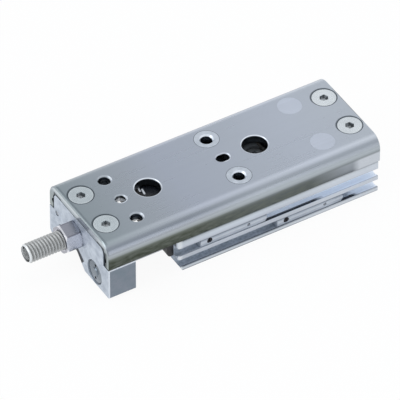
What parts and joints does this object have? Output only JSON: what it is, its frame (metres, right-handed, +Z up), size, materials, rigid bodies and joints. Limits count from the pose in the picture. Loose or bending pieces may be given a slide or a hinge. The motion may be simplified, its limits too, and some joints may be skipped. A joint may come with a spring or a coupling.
{
  "type": "pneumatic slide table",
  "caption": "Compact pneumatic slide table with a steel table on a ball guide, twin cylinders, an end plate with a stroke adjuster, and slots with auto switches.",
  "frame": {"origin": "on the mounting face under the body, on its centre line, near the middle of the table's length", "axes": "+X the way the table extends, +Y the side with the switch slots, +Z up, out of the table top"},
  "size_m": [0.1069, 0.0336, 0.02],
  "materials": {
    "body_aluminium": "fine machined, clear anodised",
    "plate_aluminium": "machined, clear anodised",
    "table_steel": "ground stainless steel",
    "insert_steel": "turned, ground flush",
    "guide_steel": "hardened and ground",
    "screw_steel": "bright plated",
    "adjuster_steel": "plated, with rolled thread",
    "nut_steel": "bright plated",
    "rod_steel": "hard chrome plated",
    "ball_steel": "polished",
    "spring_steel": "oiled",
    "piston_aluminium": "turned",
    "black_resin": "moulded, fine grain",
    "black_rubber": "moulded",
    "urethane": "moulded",
    "magnet": "bonded magnet",
    "switch_resin": "moulded light grey",
    "switch_screw_steel": "blackened"
  },
  "bodies": {
    "root": {"cylinder_body": "body_aluminium", "front_plate": "black_resin", "front_plate_screws": "screw_steel", "guide_block": "guide_steel", "guide_block_screws": "screw_steel", "front_return_cap": "black_resin", "rear_return_cap": "black_resin", "front_wiper": "black_rubber", "rear_wiper": "black_rubber", "return_cap_screws": "screw_steel", "near_balls": "ball_steel", "far_balls": "ball_steel", "rod_covers": "piston_aluminium", "rod_seals": "black_rubber", "rod_cover_o_rings": "black_rubber", "head_plugs": "piston_aluminium", "head_plug_o_rings": "black_rubber", "retaining_rings": "spring_steel"},
    "table": {"table": "table_steel", "table_inserts": "insert_steel", "table_plugs": "insert_steel", "end_plate": "plate_aluminium", "end_plate_screws": "screw_steel", "rear_block": "guide_steel", "rear_block_screws": "screw_steel", "rear_bumper": "urethane", "pistons": "piston_aluminium", "piston_seals": "black_rubber", "piston_magnets": "magnet", "piston_screws": "screw_steel", "piston_rods": "rod_steel", "rod_washers": "screw_steel", "rod_nuts": "screw_steel"},
    "adjuster": {"adjuster_tip": "urethane"},
    "adjuster_bolt": {"adjuster_bolt": "adjuster_steel"},
    "lock_nut": {"lock_nut": "nut_steel"},
    "upper_switch": {"upper_switch": "switch_resin", "upper_switch_screw": "switch_screw_steel"},
    "lower_switch": {"lower_switch": "switch_resin", "lower_switch_screw": "switch_screw_steel"}
  },
  "joints": [
    {"name": "table_slide", "type": "slide", "parent": "root", "child": "table", "axis": [1, 0, 0], "range_m": [0, 0.02]},
    {"name": "adjuster_slide", "type": "slide", "parent": "table", "child": "adjuster", "axis": [1, 0, 0], "range_m": [0, 0.005]},
    {"name": "adjuster_turn", "type": "hinge", "parent": "adjuster", "child": "adjuster_bolt", "pos_m": [0.053, -0.002, 0.0112], "axis": [1, 0, 0], "range_deg": [0, 1801]},
    {"name": "lock_nut_turn", "type": "hinge", "parent": "table", "child": "lock_nut", "pos_m": [0.0475, -0.002, 0.0112], "axis": [1, 0, 0], "range_deg": [0, 180]},
    {"name": "upper_switch_slide", "type": "slide", "parent": "root", "child": "upper_switch", "axis": [1, 0, 0], "range_m": [-0.037, 0.0075]},
    {"name": "lower_switch_slide", "type": "slide", "parent": "root", "child": "lower_switch", "axis": [1, 0, 0], "range_m": [-0.0115, 0.033]}
  ],
  "couplings": [
    {"joint": "adjuster_turn", "follows": "adjuster_slide", "rad_per_m": 6283.2}
  ]
}
